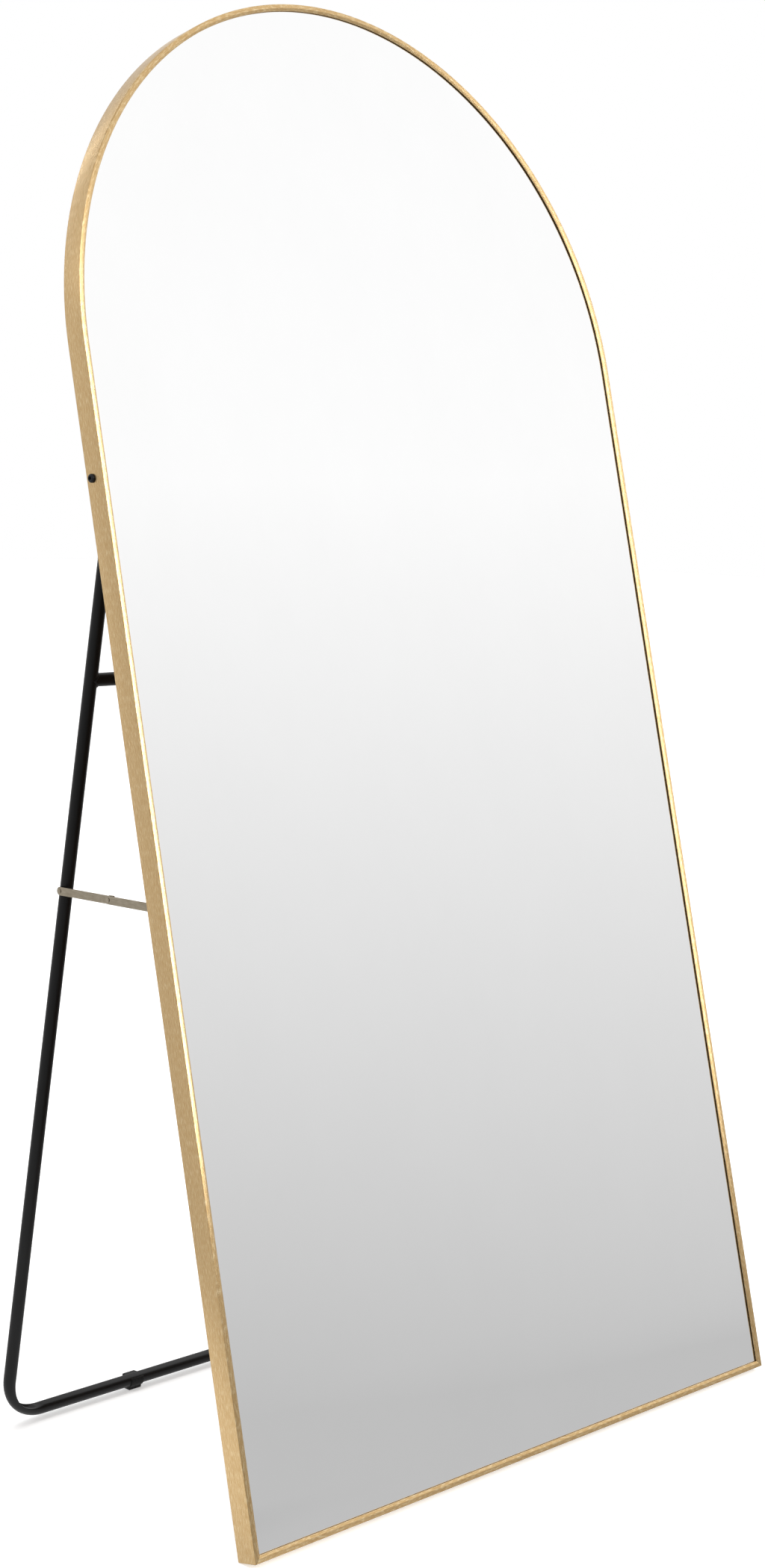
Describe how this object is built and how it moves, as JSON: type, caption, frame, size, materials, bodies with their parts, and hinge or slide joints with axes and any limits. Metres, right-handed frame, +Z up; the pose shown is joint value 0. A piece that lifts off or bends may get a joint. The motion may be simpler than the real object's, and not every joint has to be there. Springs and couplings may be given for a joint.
{
  "type": "leaning floor mirror",
  "caption": "Full-length arched floor mirror in a slim brushed metal frame that leans back on a fold-out tube stand held open by jointed side stays.",
  "frame": {"origin": "on the floor, in the middle of the mirror and stand footprint", "axes": "+Z up, -Y the way the mirror faces, +X to the right of somebody who looks into the mirror"},
  "size_m": [0.9216, 0.516, 1.7813],
  "materials": {
    "frame_metal": "brushed lengthwise, champagne gold anodised",
    "mirror_glass": "silvered float glass, polished",
    "backing_board": "smooth hardboard, matt",
    "black_tube": "matt black powder coat",
    "nickel": "satin nickel plate",
    "zinc": "zinc plate",
    "black_screw": "black oxide, satin",
    "black_plastic": "moulded, fine matt"
  },
  "bodies": {
    "mirror": {"frame_arch_rail": "frame_metal", "frame_bottom_rail": "frame_metal", "mirror_glass": "mirror_glass", "backing_board": "backing_board", "corner_key_left": "zinc", "corner_key_right": "zinc", "corner_screw_side_left": "black_screw", "corner_screw_side_right": "black_screw", "corner_screw_bottom_left": "black_screw", "corner_screw_bottom_right": "black_screw", "pivot_bolt_left": "black_screw", "pivot_bolt_right": "black_screw", "pivot_spacer_left": "black_plastic", "pivot_spacer_right": "black_plastic", "pivot_washer_left": "zinc", "pivot_washer_right": "zinc", "pivot_nut_left": "zinc", "pivot_nut_right": "zinc", "stay_bracket_left": "nickel", "stay_bracket_right": "nickel", "bracket_screw_upper_left": "zinc", "bracket_screw_upper_right": "zinc", "bracket_screw_lower_left": "zinc", "bracket_screw_lower_right": "zinc", "stay_frame_rivet_left": "nickel", "stay_frame_rivet_right": "nickel"},
    "stand": {"stand_tube": "black_tube", "stand_cross_tube": "black_tube", "leg_end_plug_left": "black_plastic", "leg_end_plug_right": "black_plastic", "leg_rivet_left": "nickel", "leg_rivet_right": "nickel", "stay_washer_left": "zinc", "stay_washer_right": "zinc", "foot_clip_left": "black_plastic", "foot_clip_right": "black_plastic"},
    "stay_frame_left": {"stay_frame_link_left": "nickel", "stay_middle_rivet_left": "nickel"},
    "stay_leg_left": {"stay_leg_link_left": "nickel", "stay_middle_rivet_tail_left": "nickel"},
    "stay_frame_right": {"stay_frame_link_right": "nickel", "stay_middle_rivet_right": "nickel"},
    "stay_leg_right": {"stay_leg_link_right": "nickel", "stay_middle_rivet_tail_right": "nickel"}
  },
  "joints": [
    {"name": "leg_fold", "type": "hinge", "parent": "mirror", "child": "stand", "pos_m": [0, 0.0554, 1.18283], "axis": [-1, 0, 0], "range_deg": [0, 20.75]},
    {"name": "stay_frame_turn_left", "type": "hinge", "parent": "mirror", "child": "stay_frame_left", "pos_m": [-0.4371, -0.05213, 0.70133], "axis": [1, 0, 0], "range_deg": [0, 74.24]},
    {"name": "stay_leg_turn_left", "type": "hinge", "parent": "stand", "child": "stay_leg_left", "pos_m": [-0.4358, 0.13478, 0.69545], "axis": [-1, 0, 0], "range_deg": [0, 79.27]},
    {"name": "stay_frame_turn_right", "type": "hinge", "parent": "mirror", "child": "stay_frame_right", "pos_m": [0.4371, -0.05213, 0.70133], "axis": [1, 0, 0], "range_deg": [0, 74.24]},
    {"name": "stay_leg_turn_right", "type": "hinge", "parent": "stand", "child": "stay_leg_right", "pos_m": [0.4358, 0.13478, 0.69545], "axis": [-1, 0, 0], "range_deg": [0, 79.27]}
  ],
  "couplings": [
    {"joint": "stay_frame_turn_left", "follows": "leg_fold", "ratio": 3.5774},
    {"joint": "stay_leg_turn_left", "follows": "leg_fold", "ratio": 3.8198},
    {"joint": "stay_frame_turn_right", "follows": "leg_fold", "ratio": 3.5774},
    {"joint": "stay_leg_turn_right", "follows": "leg_fold", "ratio": 3.8198}
  ]
}
